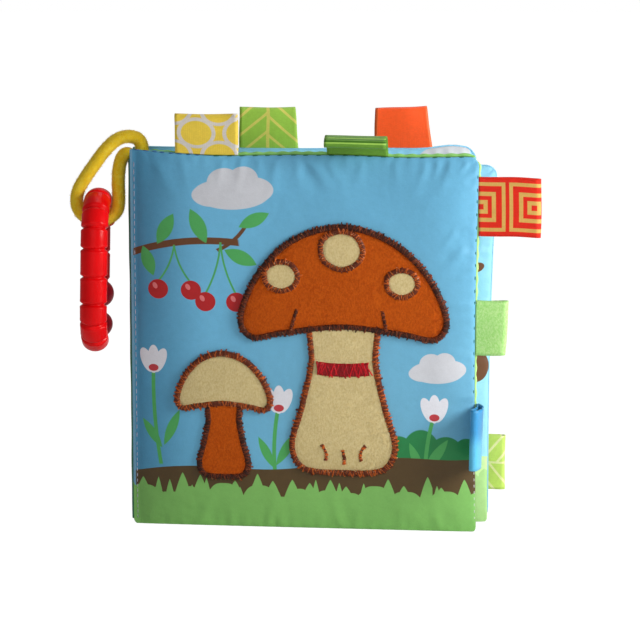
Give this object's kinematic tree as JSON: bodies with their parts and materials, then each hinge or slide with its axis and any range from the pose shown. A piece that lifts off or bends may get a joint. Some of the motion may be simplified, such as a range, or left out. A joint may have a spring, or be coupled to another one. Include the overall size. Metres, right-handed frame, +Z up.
{
  "type": "cloth baby book",
  "caption": "Soft cloth book for babies with padded leaves, a sewn spine, raised plush pictures, ribbon loops and a plastic link on a cord loop.",
  "frame": {"origin": "on the floor under the middle of the standing book, measured without the cord loop", "axes": "+X from the spine to the free edges of the leaves, +Z up, front cover facing -Y"},
  "size_m": [0.2087, 0.0594, 0.1886],
  "materials": {
    "cover_print": "printed satin-weave polyester, sky blue with a green meadow",
    "page_print": "printed satin-weave polyester, light blue with a green meadow",
    "page_green": "printed satin-weave polyester, leaf green",
    "wadding": "polyester wadding, hidden inside the leaves",
    "spine_green": "folded fabric of the sewn spine",
    "plush_brown": "short orange-brown plush",
    "plush_cream": "short cream plush",
    "satin_dark": "dark brown satin stitch",
    "satin_rust": "rust satin stitch",
    "satin_red": "red satin stitch",
    "ribbon_rings": "yellow ribbon with a woven ring pattern",
    "ribbon_veins": "green ribbon with gold vein lines",
    "ribbon_green": "plain green satin ribbon",
    "ribbon_orange": "plain orange satin ribbon",
    "ribbon_squares": "red ribbon with gold nested squares",
    "ribbon_terry": "bright green looped terry tape",
    "ribbon_blue": "blue satin ribbon",
    "ribbon_chevrons": "lime ribbon with chevron leaves",
    "cord_yellow": "fuzzy yellow cord",
    "link_red": "glossy red moulded plastic"
  },
  "bodies": {
    "middle_leaf": {"middle_leaf_front": "page_print", "middle_leaf_wadding": "wadding", "middle_leaf_back": "page_print", "spine_fold_front": "spine_green", "spine_fold_rear": "spine_green", "cord_loop": "cord_yellow"},
    "front_cover": {"front_leaf_cover": "cover_print", "front_leaf_wadding": "wadding", "front_leaf_back": "page_green", "large_cap_plush": "plush_brown", "large_cap_border": "satin_dark", "large_stem_plush": "plush_cream", "large_stem_border": "satin_rust", "small_cap_plush": "plush_cream", "small_cap_border": "satin_rust", "small_stem_plush": "plush_brown", "small_stem_border": "satin_dark", "spot_left_plush": "plush_cream", "spot_left_border": "satin_rust", "spot_middle_plush": "plush_cream", "spot_middle_border": "satin_rust", "spot_right_plush": "plush_cream", "spot_right_border": "satin_rust", "stem_ring": "satin_red", "tag_rings": "ribbon_rings", "tag_plain_green": "ribbon_green", "tag_squares": "ribbon_squares", "tag_terry": "ribbon_terry", "tag_blue": "ribbon_blue"},
    "back_cover": {"back_leaf_front": "page_print", "back_leaf_wadding": "wadding", "back_leaf_cover": "cover_print", "tag_veins": "ribbon_veins", "tag_orange": "ribbon_orange", "tag_chevrons": "ribbon_chevrons"},
    "link": {"link": "link_red"}
  },
  "joints": [
    {"name": "front_cover_hinge", "type": "hinge", "parent": "middle_leaf", "child": "front_cover", "pos_m": [-0.07995, 0.00432, 0.085], "axis": [0, 0, -1], "range_deg": [0, 84]},
    {"name": "back_cover_hinge", "type": "hinge", "parent": "middle_leaf", "child": "back_cover", "pos_m": [-0.07995, 0.01032, 0.085], "axis": [0, 0, 1], "range_deg": [0, 84]},
    {"name": "link_swing", "type": "hinge", "parent": "middle_leaf", "child": "link", "pos_m": [-0.09516, 0.00732, 0.1379], "axis": [1, 0, 0], "range_deg": [-50, 50]}
  ]
}
